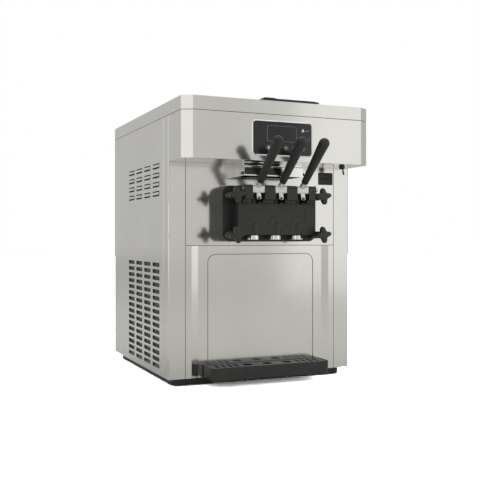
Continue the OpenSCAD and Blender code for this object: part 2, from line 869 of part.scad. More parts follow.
module compressor() {
    color(black) {
        translate([compressor_at[0], compressor_at[1], 0]) {
            translate([0, 0, 44]) cylinder(h = 16, r1 = 60, r2 = 78);
            translate([0, 0, 60]) cylinder(h = 144, r = 78);
            translate([0, 0, 136]) cylinder(h = 6, r = 80);
            translate([0, 0, 204]) cylinder(h = 22, r1 = 78, r2 = 66);
            translate([0, 0, 226]) cylinder(h = 14, r1 = 66, r2 = 30);
            span([-88, -64, 38], [88, 64, 44]);
            for (x = [-76, 76], y = [-50, 50]) translate([x, y, skirt_z + 2]) cylinder(h = 15, r = 10);
        }
    }
}

// Quarter bend of a tube about the corner point p, from direction d_in to d_out.
module quarter_bend(p, d_in, d_out, r) {
    n = cross(d_in, d_out);
    c = p + (d_out - d_in) * bend_r;
    multmatrix([
        [-d_out[0], d_in[0], n[0], c[0]],
        [-d_out[1], d_in[1], n[1], c[1]],
        [-d_out[2], d_in[2], n[2], c[2]],
        [0, 0, 0, 1]
    ])
        rotate_extrude(angle = 90, $fn = 24) translate([bend_r, 0]) circle(r = r, $fn = 24);
}

// Copper tube through corner points whose runs meet at right angles.
module tube_run(points, r) {
    last = len(points) - 1;
    way = [for (i = [0 : last - 1]) (points[i + 1] - points[i]) / norm(points[i + 1] - points[i])];
    for (i = [0 : last - 1]) {
        a = points[i] + way[i] * (i > 0 ? bend_r : 0);
        b = points[i + 1] - way[i] * (i < last - 1 ? bend_r : 0);
        translate(a) rotate([0, acos(way[i][2]), atan2(way[i][1], way[i][0])])
            cylinder(h = norm(b - a), r = r, $fn = 24);
    }
    for (i = [1 : last - 1]) quarter_bend(points[i], way[i - 1], way[i], r);
}

module refrigerant_pipes() {
    x = fan_x - 148;
    color(copper) {
        tube_run([[-150, 400, 240], [-150, 400, 295], [-150, 480, 295], [x, 480, 295],
            [x, 517, 295], [x + 10, 517, 295]], 4);
        tube_run([[x + 10, 517, 75], [x, 517, 75], [x, 300, 75], [-100, 300, 75],
            [-100, 120, 75], [-100, 120, 201]], 4);
        rod_z(200, 280, [-100, 120], 12);
        tube_run([[-100, 120, 279], [-100, 120, 320], [-140, 120, 320], [-140, 120, 440],
            [-115, 120, 440]], 3);
        tube_run([[-115, 200, 470], [-140, 200, 470], [-140, 200, 330], [-140, 400, 330],
            [-175, 400, 330], [-175, 400, 241]], 5);
    }
}

module condenser() {
    x0 = fan_x - 130;
    x1 = fan_x + 130;
    color([0.78, 0.79, 0.80]) {
        for (x = [x0, x1 - 2]) span([x, 506, 50], [x + 2, 546, 320]);
        for (i = [1 : 24]) span([x0 + i * 10.3, 508, 52], [x0 + i * 10.3 + 0.8, 544, 318]);
    }
    color(copper) for (i = [0 : 5], y = [517, 535]) rod_x(x0 - 8, x1 + 8, [y, 75 + i * 44], 4);
}

module fan_shroud() {
    color(black) {
        plate_y(498, 506) difference() {
            translate([fan_x - 130, 50]) square([260, 270]);
            translate([fan_x, fan_z]) circle(fan_r + 4);
        }
        plate_y(470, 498) difference() {
            translate([fan_x, fan_z]) circle(fan_r + 8);
            translate([fan_x, fan_z]) circle(fan_r + 4);
        }
        difference() {
            rod_y(405, 462, [fan_x, fan_z], 36);
            rod_y(440, 463, [fan_x, fan_z], 5 + run_gap);
        }
        for (a = [0 : 90 : 270]) translate([fan_x, 0, fan_z]) rotate([0, a + 45, 0])
            span([30, 448, -5], [fan_r + 8, 454, 5]);
        for (a = [0 : 90 : 270]) translate([fan_x, 0, fan_z]) rotate([0, a + 45, 0])
            span([fan_r + 4, 448, -5], [fan_r + 8, 472, 5]);
        span([fan_x - 130, 498, skirt_z + 2], [fan_x + 130, 506, 50]);
    }
}

module fan_blades() {
    color(steel) translate([fan_x, 0, fan_z]) {
        rod_y(470, 492, [0, 0], 26);
        rod_y(441, 470, [0, 0], 5);
        for (a = [0 : 60 : 300]) rotate([0, a, 0]) translate([0, 481, 0]) rotate([0, 0, 28])
            plate_y(-1, 1) intersection() {
                difference() {
                    circle(fan_r - 4);
                    circle(20);
                }
                polygon([[0, 0], [34, 130], [-34, 130]]);
            }
    }
}

// ---- Hoppers -------------------------------------------------------------------

module hopper_plan(grow) {
    rounded_window([hopper_x - hopper_w / 2 - grow, hopper_y - hopper_l / 2 - grow],
        [hopper_x + hopper_w / 2 + grow, hopper_y + hopper_l / 2 + grow], hopper_r + grow);
}

module hopper() {
    difference() {
        union() {
            plate_z(hopper_z, deck_top) hopper_plan(0);
            plate_z(deck_top, deck_top + rim_h) hopper_plan(4);
        }
        plate_z(hopper_z + sheet, deck_top + rim_h + 1) hopper_plan(-sheet);
        rod_z(hopper_z - 1, hopper_z + 3, [handle_pitch, feed_y], feed_r - 2);
    }
}

module left_hopper() {
    color(bright) mirror([1, 0, 0]) hopper();
}

module right_hopper() {
    color(bright) hopper();
}

// Tubes that meter mix and air into the cylinders.
module feed_tubes() {
    color(white) both_sides() difference() {
        union() {
            rod_z(530, 720, [handle_pitch, feed_y], feed_r - 2.3);
            rod_z(hopper_z + sheet, hopper_z + sheet + 5, [handle_pitch, feed_y], feed_r + 3);
        }
        rod_z(529, 721, [handle_pitch, feed_y], 7);
        rod_x(handle_pitch - 14, handle_pitch + 14, [feed_y, hopper_z + 14], 2.5);
    }
}

// Ring inside the hopper's mouth that keeps a lid in place.
module lid_ring(z0, z1) {
    plate_z(z0, z1) difference() {
        hopper_plan(-sheet - 1.5);
        hopper_plan(-sheet - 4);
    }
}

module left_hopper_lid() {
    color(black) mirror([1, 0, 0]) {
        plate_z(lid_z, lid_z + 10) hopper_plan(5);
        lid_ring(lid_z - 8, lid_z);
        span([hopper_x - 50, hopper_y - 9, lid_z + 10], [hopper_x + 50, hopper_y + 9, lid_z + 22]);
    }
}

// Plan of the deep cover, which overhangs the hopper's rim.
module cover_plan(grow) {
    rounded_window([hopper_x - 98 - grow, hopper_y - 176 - grow],
        [hopper_x + 98 + grow, hopper_y + 176 + grow], 40 + grow);
}

module right_hopper_cover() {
    cover_z = deck_top + cover_h;
    color(black) {
        difference() {
            plate_z(lid_z, cover_z) cover_plan(0);
            plate_z(lid_z - 1, cover_z - 3) cover_plan(-3);
        }
        lid_ring(lid_z - 8, cover_z - 2);
        // Lug by which the cover is lifted.
        plate_z(lid_z + 6, cover_z + 1)
            rounded_window([hopper_x - 95, hopper_y - 180], [hopper_x - 58, hopper_y - 150], 6);
    }
}

// ---- Electrics, tray -----------------------------------------------------------

module control_box() {
    color(steel) {
        difference() {
            span([120, 60, 40], [240, 230, 300]);
            span([120 + sheet, 60 + sheet, 40 + sheet], [240 - sheet, 230 - sheet, 300 - sheet]);
            // Holes where the wiring comes in.
            for (x = [150, 210]) rod_y(225, 235, [x, 270], 11);
        }
        for (z = [44, 280]) span([240, 70, z], [264, 220, z + 12]);
    }
}

module power_inlet() {
    at = [-200, 90];
    color(black) {
        rod_y(body_d, body_d + 6, at, 17);
        translate([at[0], body_d + 6, at[1]]) rotate([-90, 0, 0])
            cylinder(h = gland_out - 6, r1 = 14, r2 = 11);
        rod_y(body_d - 16, body_d, at, 12.5);
        rod_y(body_d - 8, body_d - sheet, at, 18);
    }
}

module drip_tray() {
    w = 2.5;
    from = [-tray_half, tray_y[0]];
    to = [tray_half, tray_y[1]];
    color(black) {
        difference() {
            plate_z(tray_z[0], tray_z[1]) rounded_window(from, to, 10);
            plate_z(tray_z[0] + w, tray_z[1] + 1)
                rounded_window([from[0] + w, from[1] + w], [to[0] - w, to[1] - w], 7.5);
        }
        plate_z(tray_z[1] - 8, tray_z[1] - 5) difference() {
            rounded_window([from[0] + 1, from[1] + 1], [to[0] - 1, to[1] - 1], 9);
            rounded_window([from[0] + 7, from[1] + 7], [to[0] - 7, to[1] - 7], 5);
        }
        both_sides() span([102, tray_y[1] - 1, 32], [124, recess + 12, 36]);
    }
}

module drip_grid() {
    g = 3;
    z = tray_z[1] - 4.6;
    grid_y = (tray_y[0] + tray_y[1]) / 2;
    color(black) plate_z(z, z + 3.6) difference() {
        rounded_window([g - tray_half, tray_y[0] + g], [tray_half - g, tray_y[1] - g], 7);
        for (i = [0 : 3], s = [-1, 1]) translate([s * (91.5 + i * 18.3), grid_y]) rotate(90) slot(38, 8);
        for (x = [-58, 0, 58]) translate([x, grid_y]) circle(r = 14);
    }
}

// ---- Assembly ------------------------------------------------------------------

module place() {
    translate([0, (front_reach - rear_reach) / 2, 0]) children();
}

place() base_plinth();
place() rubber_feet();
place() chassis_frame();
place() left_side_panel();
place() right_side_panel();
place() rear_panel();
place() upper_front_panel();
place() lower_front_panel();
place() head_canopy();
place() top_deck();
place() display_bezel();
place() touch_panel();
place() lamp_housing();
place() lamp_lens();
place() rocker_housing();
place() upper_rocker();
place() lower_rocker();
place() toggle_body();
place() toggle_lever();
place() door_body();
place() door_seals();
place() door_studs();
place() upper_left_knob();
place() lower_left_knob();
place() upper_right_knob();
place() lower_right_knob();
place() pivot_pin();
place() nozzle_caps();
place() left_lever();
place() centre_lever();
place() right_lever();
place() left_grip();
place() centre_grip();
place() right_grip();
place() left_draw_valve();
place() centre_draw_valve();
place() right_draw_valve();
place() freezing_cylinders();
place() cylinder_insulation();
place() left_beater();
place() right_beater();
place() gearbox();
place() gearbox_pulley();
place() drive_belt();
place() beater_motor();
place() motor_pulley();
place() compressor();
place() refrigerant_pipes();
place() condenser();
place() fan_shroud();
place() fan_blades();
place() left_hopper();
place() right_hopper();
place() feed_tubes();
place() left_hopper_lid();
place() right_hopper_cover();
place() control_box();
place() drip_tray();
place() drip_grid();
place() power_inlet();
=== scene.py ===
"""Looks of the counter-top soft serve machine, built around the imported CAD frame."""

import json
import math

import bmesh
import bpy
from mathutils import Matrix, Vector


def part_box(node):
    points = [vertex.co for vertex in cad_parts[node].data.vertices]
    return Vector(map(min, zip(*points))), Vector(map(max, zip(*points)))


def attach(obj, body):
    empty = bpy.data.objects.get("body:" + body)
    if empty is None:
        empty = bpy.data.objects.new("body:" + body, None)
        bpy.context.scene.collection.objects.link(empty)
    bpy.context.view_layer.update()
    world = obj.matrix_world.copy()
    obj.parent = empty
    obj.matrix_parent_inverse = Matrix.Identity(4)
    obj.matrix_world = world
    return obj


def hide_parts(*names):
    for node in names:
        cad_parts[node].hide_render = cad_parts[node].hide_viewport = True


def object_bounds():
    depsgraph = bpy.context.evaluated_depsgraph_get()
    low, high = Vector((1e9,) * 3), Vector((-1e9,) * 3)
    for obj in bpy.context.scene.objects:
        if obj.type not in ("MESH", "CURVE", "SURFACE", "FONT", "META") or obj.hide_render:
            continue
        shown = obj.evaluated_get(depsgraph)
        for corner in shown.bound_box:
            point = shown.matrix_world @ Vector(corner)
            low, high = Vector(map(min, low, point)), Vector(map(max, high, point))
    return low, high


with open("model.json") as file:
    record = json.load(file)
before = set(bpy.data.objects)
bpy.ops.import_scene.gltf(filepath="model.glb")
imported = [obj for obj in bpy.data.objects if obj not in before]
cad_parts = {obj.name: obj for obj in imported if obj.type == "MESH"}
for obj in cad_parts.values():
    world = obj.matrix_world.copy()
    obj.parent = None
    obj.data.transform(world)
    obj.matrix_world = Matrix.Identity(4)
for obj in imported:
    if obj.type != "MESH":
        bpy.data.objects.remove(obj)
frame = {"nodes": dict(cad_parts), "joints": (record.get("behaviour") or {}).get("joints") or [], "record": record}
cad_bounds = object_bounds()

# Lengths in the tables below are in mm, and MM turns them into the frame's metres.
MM = 0.001
RECORD = frame["record"]
BODY_OF = {n: b for b, nodes in RECORD["behaviour"]["bodies"].items() for n in nodes}
SLOT_OF = {s["node"]: s["material_slot"] for s in RECORD["subparts"]}
JOINTS = {j["name"]: j for j in frame["joints"]}
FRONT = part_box("upper_front_panel")[0].y
HANDLES = ("left", "centre", "right")


# ---- Shader building ---------------------------------------------------------

# The colour mix node's sockets, which go by number because its names repeat.
MIX_FACTOR, MIX_A, MIX_B, MIX_RESULT = 0, 6, 7, 2


class Shader:
    """A small node builder around one Principled shader."""

    def __init__(self, name, color, roughness, metallic=0.0):
        self.mat = bpy.data.materials.new(name)
        self.mat.use_nodes = True
        self.tree = self.mat.node_tree
        self.tree.nodes.clear()
        output = self.tree.nodes.new("ShaderNodeOutputMaterial")
        self.bsdf = self.tree.nodes.new("ShaderNodeBsdfPrincipled")
        self.link(self.bsdf.outputs[0], output.inputs[0])
        self.set("Base Color", (*color, 1.0))
        self.set("Roughness", roughness)
        self.set("Metallic", metallic)
        self.mat.diffuse_color = (*color, 1.0)
        self.coords = self.tree.nodes.new("ShaderNodeTexCoord").outputs["Object"]

    def link(self, a, b):
        self.tree.links.new(a, b)

    def set(self, socket, value):
        self.bsdf.inputs[socket].default_value = value

    def noise(self, scale, detail, rough, stretch=(1, 1, 1)):
        mapping = self.tree.nodes.new("ShaderNodeMapping")
        mapping.inputs["Scale"].default_value = stretch
        self.link(self.coords, mapping.inputs["Vector"])
        node = self.tree.nodes.new("ShaderNodeTexNoise")
        node.inputs["Scale"].default_value = scale
        node.inputs["Detail"].default_value = detail
        node.inputs["Roughness"].default_value = rough
        self.link(mapping.outputs[0], node.inputs["Vector"])
        return node.outputs[0]

    def cells(self, scale):
        """The colour and the distance of a field of cells."""
        node = self.tree.nodes.new("ShaderNodeTexVoronoi")
        node.inputs["Scale"].default_value = scale
        self.link(self.coords, node.inputs["Vector"])
        return node.outputs["Color"], node.outputs["Distance"]

    def grey(self, color):
        node = self.tree.nodes.new("ShaderNodeRGBToBW")
        self.link(color, node.inputs[0])
        return node.outputs[0]

    def remap(self, value, given, wanted):
        node = self.tree.nodes.new("ShaderNodeMapRange")
        self.link(value, node.inputs[0])
        for i, v in enumerate((*given, *wanted)):
            node.inputs[i + 1].default_value = v
        return node.outputs[0]

    def blend_colors(self, factor, a, b):
        node = self.tree.nodes.new("ShaderNodeMix")
        node.data_type = "RGBA"
        self.link(factor, node.inputs[MIX_FACTOR])
        node.inputs[MIX_A].default_value = (*a, 1.0)
        node.inputs[MIX_B].default_value = (*b, 1.0)
        return node.outputs[MIX_RESULT]

    def bump(self, height, distance, strength):
        node = self.tree.nodes.new("ShaderNodeBump")
        node.inputs["Strength"].default_value = strength
        node.inputs["Distance"].default_value = distance
        self.link(height, node.inputs["Height"])
        self.link(node.outputs[0], self.bsdf.inputs["Normal"])

    def color_from(self, socket):
        self.link(socket, self.bsdf.inputs["Base Color"])

    def roughness_from(self, socket):
        self.link(socket, self.bsdf.inputs["Roughness"])


# Nearly all of a noise's values lie in this range. Bump distances below are in metres.
MOST = (0.3, 0.7)
FULL = (0.0, 1.0)


def scaled(color, share):
    return tuple(min(1.0, share * c) for c in color)


def brushed_steel(name, color, rough, stretch, wear):
    """Steel with a hairline grain drawn out by the stretch, and faint smudges."""
    s = Shader(name, color, rough, 1.0)
    hair = s.noise(scale=60, detail=3.0, rough=0.6, stretch=stretch)
    smudge = s.noise(scale=5, detail=3.0, rough=0.55)
    s.roughness_from(s.remap(hair, MOST, (rough - wear, rough + wear)))
    tint = s.remap(smudge, MOST, FULL)
    s.color_from(s.blend_colors(tint, scaled(color, 0.955), scaled(color, 1.02)))
    s.bump(hair, distance=0.000012, strength=0.5)
    return s.mat


def moulded_plastic(name, color, rough, grain=900, depth=0.00003):
    """Plastic with a fine moulded grain and broad patches of handling wear."""
    s = Shader(name, color, rough)
    fine = s.noise(scale=grain, detail=2.0, rough=0.6)
    broad = s.noise(scale=22, detail=3.0, rough=0.5)
    s.roughness_from(s.remap(broad, MOST, (rough - 0.05, rough + 0.06)))
    lighter = tuple(c * 1.25 + 0.002 for c in color)
    s.color_from(s.blend_colors(s.remap(broad, (0.35, 0.7), FULL), color, lighter))
    s.bump(fine, distance=depth, strength=0.6)
    return s.mat


def cast_metal(name, color, rough):
    s = Shader(name, color, rough, 1.0)
    pits = s.noise(scale=1400, detail=3.0, rough=0.65)
    broad = s.noise(scale=40, detail=2.0, rough=0.5)
    s.roughness_from(s.remap(pits, MOST, (rough - 0.06, rough + 0.08)))
    s.color_from(s.blend_colors(broad, scaled(color, 0.9), scaled(color, 1.04)))
    s.bump(pits, distance=0.00004, strength=0.5)
    return s.mat


def spangled_zinc(name):
    s = Shader(name, (0.55, 0.56, 0.57), 0.4, 1.0)
    color, _ = s.cells(scale=110)
    tone = s.grey(color)
    s.color_from(s.blend_colors(tone, (0.44, 0.45, 0.47), (0.63, 0.64, 0.66)))
    s.roughness_from(s.remap(tone, FULL, (0.3, 0.5)))
    return s.mat


def foam_material(name):
    s = Shader(name, (0.82, 0.78, 0.62), 0.85)
    _, cell = s.cells(scale=420)
    tint = s.noise(scale=30, detail=3.0, rough=0.6)
    s.color_from(s.blend_colors(tint, (0.74, 0.68, 0.50), (0.88, 0.84, 0.70)))
    s.bump(cell, distance=0.0008, strength=0.7)
    return s.mat


def painted(name, color, rough):
    """Paint with a little orange peel, and dust that has settled in patches."""
    s = Shader(name, color, rough)
    peel = s.noise(scale=260, detail=2.0, rough=0.5)
    dust = s.noise(scale=12, detail=4.0, rough=0.6)
    s.roughness_from(s.remap(dust, MOST, (rough - 0.06, rough + 0.12)))
    dusty = tuple(c * 1.5 + 0.02 for c in color)
    s.color_from(s.blend_colors(s.remap(dust, (0.45, 0.75), (0.0, 0.5)), color, dusty))
    s.bump(peel, distance=0.00006, strength=0.5)
    s.set("Coat Weight", 0.25)
    return s.mat


def copper_tube(name):
    s = Shader(name, (0.72, 0.40, 0.26), 0.28, 1.0)
    tarnish = s.noise(scale=35, detail=4.0, rough=0.6)
    tint = s.remap(tarnish, (0.4, 0.7), FULL)
    s.color_from(s.blend_colors(tint, (0.76, 0.43, 0.29), (0.42, 0.23, 0.15)))
    s.roughness_from(s.remap(tarnish, MOST, (0.2, 0.45)))
    return s.mat


UPRIGHT_GRAIN, LEVEL_GRAIN, FIN_GRAIN = (9, 9, 0.25), (1, 9, 9), (1, 9, 1)
MATERIALS = {
    "casing_steel": brushed_steel(
        "casing_steel", (0.748, 0.738, 0.70), 0.14, UPRIGHT_GRAIN, wear=0.02
    ),
    "polished_steel": brushed_steel(
        "polished_steel", (0.86, 0.855, 0.835), 0.10, LEVEL_GRAIN, wear=0.02
    ),
    "cast_steel": cast_metal("cast_steel", (0.74, 0.73, 0.70), 0.33),
    "black_plastic": moulded_plastic("black_plastic", (0.018, 0.018, 0.017), 0.40),
    "grip_plastic": moulded_plastic("grip_plastic", (0.012, 0.012, 0.012), 0.42, grain=1300),
    "gloss_black": moulded_plastic(
        "gloss_black", (0.013, 0.013, 0.014), 0.12, grain=60, depth=0.000004
    ),
    "rubber": moulded_plastic("rubber", (0.018, 0.018, 0.018), 0.72, grain=1100, depth=0.00005),
    "white_plastic": moulded_plastic(
        "white_plastic", (0.82, 0.82, 0.79), 0.35, grain=700, depth=0.00001
    ),
    "galvanised": spangled_zinc("galvanised"),
    "foam": foam_material("foam"),
    "machine_paint": painted("machine_paint", (0.17, 0.21, 0.25), 0.38),
    "compressor_paint": painted("compressor_paint", (0.018, 0.018, 0.018), 0.3),
    "copper": copper_tube("copper"),
    "aluminium_fin": brushed_steel("aluminium_fin", (0.74, 0.75, 0.76), 0.3, FIN_GRAIN, wear=0.05),
}
PRINT = {"grain": 500, "depth": 0.000002}
PRINT_PALE = moulded_plastic("display_print_pale", (0.80, 0.80, 0.78), 0.4, **PRINT)
PRINT_DIM = moulded_plastic("display_print_dim", (0.26, 0.265, 0.27), 0.3, **PRINT)
SCREEN_GREY = painted("dust_screen_grey", (0.13, 0.13, 0.128), 0.5)
# A darker copy of the dust screen paint, as painted shade for the upper vents.
SCREEN_PAINTED_SHADE = painted("dust_screen_painted_shade", (0.03, 0.03, 0.03), 0.6)
# Dark screws, and the dark wires that are painted shade in the pressed line and the deck seam.
DARK_SCREW_AND_SHADE = moulded_plastic(
    "dark_screw_and_painted_shade", (0.03, 0.03, 0.03), 0.6, grain=500, depth=0.00001
)
# Matt black for the lamp's panes, and for the sheet that is painted shade under the lamp box.
MATT_BLACK_AND_SHADE = moulded_plastic(
    "matt_black_and_painted_shade", (0.02, 0.02, 0.02), 0.9, grain=600, depth=0.00005
)
MATT_BLACK_AND_SHADE.node_tree.nodes["Principled BSDF"].inputs["Specular IOR Level"].default_value = 0.05

for node_name, node in frame["nodes"].items():
    node.data.materials.clear()
    node.data.materials.append(MATERIALS[SLOT_OF[node_name]])


# ---- Mesh building -----------------------------------------------------------


def place(x, y, z):
    """A row point, given in mm from the middle, the upper front panel's face and the floor."""
    return Vector((x * MM, FRONT + y * MM, z * MM))


def off_front(y):
    """How far behind the upper front panel's face a row Y lies, in mm."""
    return (y - FRONT) / MM


def add_piece(name, mesh, material, body, nodes=()):
    obj = bpy.data.objects.new(name, mesh)
    bpy.context.scene.collection.objects.link(obj)
    mesh.materials.clear()
    mesh.materials.append(material)
    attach(obj, body)
    if nodes:
        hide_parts(*nodes)
    return obj


def mesh_of(bm, name, smooth):
    """Turns the faces outward and hands over the mesh."""
    bmesh.ops.recalc_face_normals(bm, faces=bm.faces)
    mesh = bpy.data.meshes.new(name)
    bm.to_mesh(mesh)
    bm.free()
    for p in mesh.polygons:
        p.use_smooth = smooth
    return mesh


def evaluated_mesh(obj):
    bpy.context.view_layer.update()
    return bpy.data.meshes.new_from_object(
        obj.evaluated_get(bpy.context.evaluated_depsgraph_get())
    )


# Angles are in degrees, and the distance is in metres.
CRISP_ANGLE = 38
BEVEL_ANGLE = 28
FLAT_ANGLE = 0.4
BEVEL_SEGMENTS = 2
MERGE_DISTANCE = 2e-6


def settle_normals(obj):
    """Large faces keep their own direction, and corners past the crisp angle stay crisp."""
    for p in obj.data.polygons:
        p.use_smooth = True
    obj.data.set_sharp_from_angle(angle=math.radians(CRISP_ANGLE))
    weighted = obj.modifiers.new("normals", "WEIGHTED_NORMAL")
    weighted.mode = "FACE_AREA"
    weighted.weight = 100
    weighted.keep_sharp = True


def round_edges(obj, width, angle):
    """Bevels the edges that turn by more than the angle, and applies the bevel."""
    bevel = obj.modifiers.new("edges", "BEVEL")
    bevel.width = width * MM
    bevel.segments = BEVEL_SEGMENTS
    bevel.limit_method = "ANGLE"
    bevel.angle_limit = math.radians(angle)
    bevel.use_clamp_overlap = True
    done = evaluated_mesh(obj)
    obj.modifiers.remove(bevel)
    old = obj.data
    obj.data = done
    bpy.data.meshes.remove(old)
    done.name = obj.name
    settle_normals(obj)


def finish_node(node, width, angle=BEVEL_ANGLE):
    """A piece in the node's shape, its facets merged and its edges rounded, stands for it."""
    mesh = frame["nodes"][node].data.copy()
    bm = bmesh.new()
    bm.from_mesh(mesh)
    bmesh.ops.remove_doubles(bm, verts=bm.verts, dist=MERGE_DISTANCE)
    bmesh.ops.dissolve_limit(
        bm, angle_limit=math.radians(FLAT_ANGLE), verts=bm.verts, edges=bm.edges
    )
    bmesh.ops.triangulate(bm, faces=[f for f in bm.faces if len(f.verts) > 4])
    bmesh.ops.recalc_face_normals(bm, faces=bm.faces)
    bm.to_mesh(mesh)
    bm.free()
    slot = SLOT_OF[node]
    obj = add_piece(node + "_finished", mesh, MATERIALS[slot], BODY_OF[node], [node])
    round_edges(obj, width, angle)


def lathe(name, origin, axis, profile, material, body, slot, nodes=(), steps=64):
    """Turns (distance along, radius) points about the axis."""
    axis = Vector(axis).normalized()
    side = axis.orthogonal().normalized()
    other = axis.cross(side)
    bm = bmesh.new()
    rings = []
    for along, radius in profile:
        middle = origin + axis * along
        if radius == 0.0:
            rings.append([bm.verts.new(middle)])
            continue
        ring = []
        for i in range(steps):
            a = 2 * math.pi * i / steps
            ring.append(bm.verts.new(middle + (side * math.cos(a) + other * math.sin(a)) * radius))
        rings.append(ring)
    for a, b in zip(rings, rings[1:]):
        for i in range(steps):
            j = (i + 1) % steps
            if len(a) == 1:
                bm.faces.new([a[0], b[i], b[j]])
            elif len(b) == 1:
                bm.faces.new([a[i], b[0], a[j]])
            else:
                bm.faces.new([a[i], b[i], b[j], a[j]])
    add_piece(name, mesh_of(bm, name, True), material, body, nodes)


def loft(name, rings, material, body, slot, nodes=(), smooth=False, hoop=False):
    """Skins rings of equal length. A hoop joins the last to the first, else both are capped."""
    bm = bmesh.new()
    rows = [[bm.verts.new(p) for p in ring] for ring in rings]
    n = len(rows[0])
    for a, b in zip(rows, rows[1:] + rows[:1] if hoop else rows[1:]):
        for i in range(n):
            j = (i + 1) % n
            bm.faces.new([a[i], a[j], b[j], b[i]])
    if not hoop:
        bm.faces.new(list(reversed(rows[0])))
        bm.faces.new(rows[-1])
    add_piece(name, mesh_of(bm, name, smooth), material, body, nodes)


def tube(name, paths, radius, material, cyclic=False, sides=3):
    """Round wire along each path of points, radius in mm, as one mesh on the root body."""
    curve = bpy.data.curves.new(name, "CURVE")
    curve.dimensions = "3D"
    curve.bevel_depth = radius * MM
    curve.bevel_resolution = sides
    curve.use_fill_caps = True
    for path in paths:
        spline = curve.splines.new("POLY")
        spline.points.add(len(path) - 1)
        for point, co in zip(spline.points, path):
            point.co = (*co, 1.0)
        spline.use_cyclic_u = cyclic
    temp = bpy.data.objects.new(name + "_curve", curve)
    bpy.context.scene.collection.objects.link(temp)
    mesh = evaluated_mesh(temp)
    bpy.data.objects.remove(temp)
    bpy.data.curves.remove(curve)
    mesh.name = name
    for p in mesh.polygons:
        p.use_smooth = True
    add_piece(name, mesh, material, "root")


WINDOW_STEPS = 8


def window_points(x0, x1, z0, z1, r, y):
    """A rounded window in a plane of constant Y, in mm, as row points."""
    out = []
    for cx, cz, start in (
        (x1 - r, z1 - r, 0),
        (x0 + r, z1 - r, 90),
        (x0 + r, z0 + r, 180),
        (x1 - r, z0 + r, 270),
    ):
        for i in range(WINDOW_STEPS + 1):
            a = math.radians(start + 90 * i / WINDOW_STEPS)
            out.append(place(cx + r * math.cos(a), y, cz + r * math.sin(a)))
    return out


# ---- Casing and the other nodes that keep their CAD shape -----------------------

# How wide each node's edges are rounded.
EDGES = {
    "base_plinth": 1.5,
    "rubber_feet": 1.0,
    "left_side_panel": 0.4,
    "right_side_panel": 0.4,
    "rear_panel": 0.4,
    "upper_front_panel": 0.5,
    "lower_front_panel": 0.3,
    "head_canopy": 1.0,
    "top_deck": 1.4,
    "display_bezel": 0.74,
    "touch_panel": 0.5,
    "lamp_housing": 0.5,
    "lamp_lens": 0.4,
    "rocker_housing": 0.6,
    "upper_rocker": 0.6,
    "lower_rocker": 0.6,
    "toggle_body": 0.4,
    "toggle_lever": 0.3,
    "door_body": 1.2,
    "pivot_pin": 0.5,
    "nozzle_caps": 0.5,
    "left_lever": 0.8,
    "centre_lever": 0.8,
    "right_lever": 0.8,
    "drip_tray": 1.0,
    "drip_grid": 0.6,
    "left_hopper_lid": 1.5,
    "right_hopper_cover": 1.5,
    "power_inlet": 0.6,
    "left_draw_valve": 0.5,
    "centre_draw_valve": 0.5,
    "right_draw_valve": 0.5,
}
# The pressed line's slopes are gentle, so there the rounding starts at a smaller angle.
EDGE_ANGLES = {"lower_front_panel": 8}
for node_name, width in EDGES.items():
    finish_node(node_name, width, EDGE_ANGLES.get(node_name, BEVEL_ANGLE))


# ---- The shade at the bottom of the pressed line -------------------------------

PRESSED_LINE = {"half": 158.4, "foot": 29, "top": 348.5, "radius": 22.9, "depth": 5.65}
SHADE_WIRE = 0.45
CORNER_STEPS = 12


def arch_points(half, foot, top, radius, depth):
    """Up the left side, round the two upper corners and down the right side."""
    points = [place(-half, depth, foot)]
    for cx, start in ((radius - half, 180), (half - radius, 90)):
        for i in range(CORNER_STEPS + 1):
            a = math.radians(start - 90 * i / CORNER_STEPS)
            x, z = cx + radius * math.cos(a), top - radius + radius * math.sin(a)
            points.append(place(x, depth, z))
    points.append(place(half, depth, foot))
    return points


tube(
    "pressed_line_shade",
    [arch_points(**PRESSED_LINE)],
    SHADE_WIRE,
    DARK_SCREW_AND_SHADE,
    sides=1,
)


# ---- Beads on the side panels, and the joints of the head and the deck -----------

HALF_WIDTH = 270
BEAD_HEIGHTS = (24, 710.5)
# Sections of (distance out from the side panel, Y). Their slopes lie parallel to the head's
# corner facets, so that they catch the same light.
BEADS = {
    "corner_bead": ((0.0, 1.9), (0.75, 0.4), (-0.6, -0.4), (-1.7, 0.0)),
    "hem_bead": ((-0.3, 43.6), (0.85, 42.1), (-0.3, 41.42)),
}
for side, sign in (("left", -1), ("right", 1)):
    for bead, section in BEADS.items():
        loft(
            f"{side}_{bead}",
            [
                [place(sign * (HALF_WIDTH + out), y, z) for out, y in section]
                for z in BEAD_HEIGHTS
            ],
            MATERIALS["casing_steel"],
            "root",
            "casing_steel",
        )

# The filler closes the gap between the upper front panel's top edge and the head.
FILLER_HALF_LENGTH = 268
FILLER_SECTION = ((0.4, 590.2), (1.3, 590.2), (1.3, 591.6), (0.4, 591.6))
loft(
    "head_joint_filler",
    [
        [place(x, y, z) for y, z in FILLER_SECTION]
        for x in (-FILLER_HALF_LENGTH, FILLER_HALF_LENGTH)
    ],
    MATERIALS["casing_steel"],
    "root",
    "casing_steel",
)

# A dark wire in the seam under the deck, along the sides, the corner facets and the front, is painted shade in the
# seam.
HEAD_REACH, FACET_X, FACET_Y = 114.6, 27.4, 16.1
SEAM_INSET, SEAM_HEIGHT, SEAM_REAR, SEAM_WIRE = 0.85, 712.5, 562, 0.45
edge, front = HALF_WIDTH - SEAM_INSET, SEAM_INSET - HEAD_REACH
tube(
    "deck_seam_painted_shade",
    [
        [
            place(x, y, SEAM_HEIGHT)
            for x, y in (
                (-edge, SEAM_REAR), (-edge, front + FACET_Y), (FACET_X - edge, front),
                (edge - FACET_X, front), (edge, front + FACET_Y), (edge, SEAM_REAR),
            )
        ]
    ],
    SEAM_WIRE,
    DARK_SCREW_AND_SHADE,
)


# ---- Dust screens behind the side vents ---------------------------------------

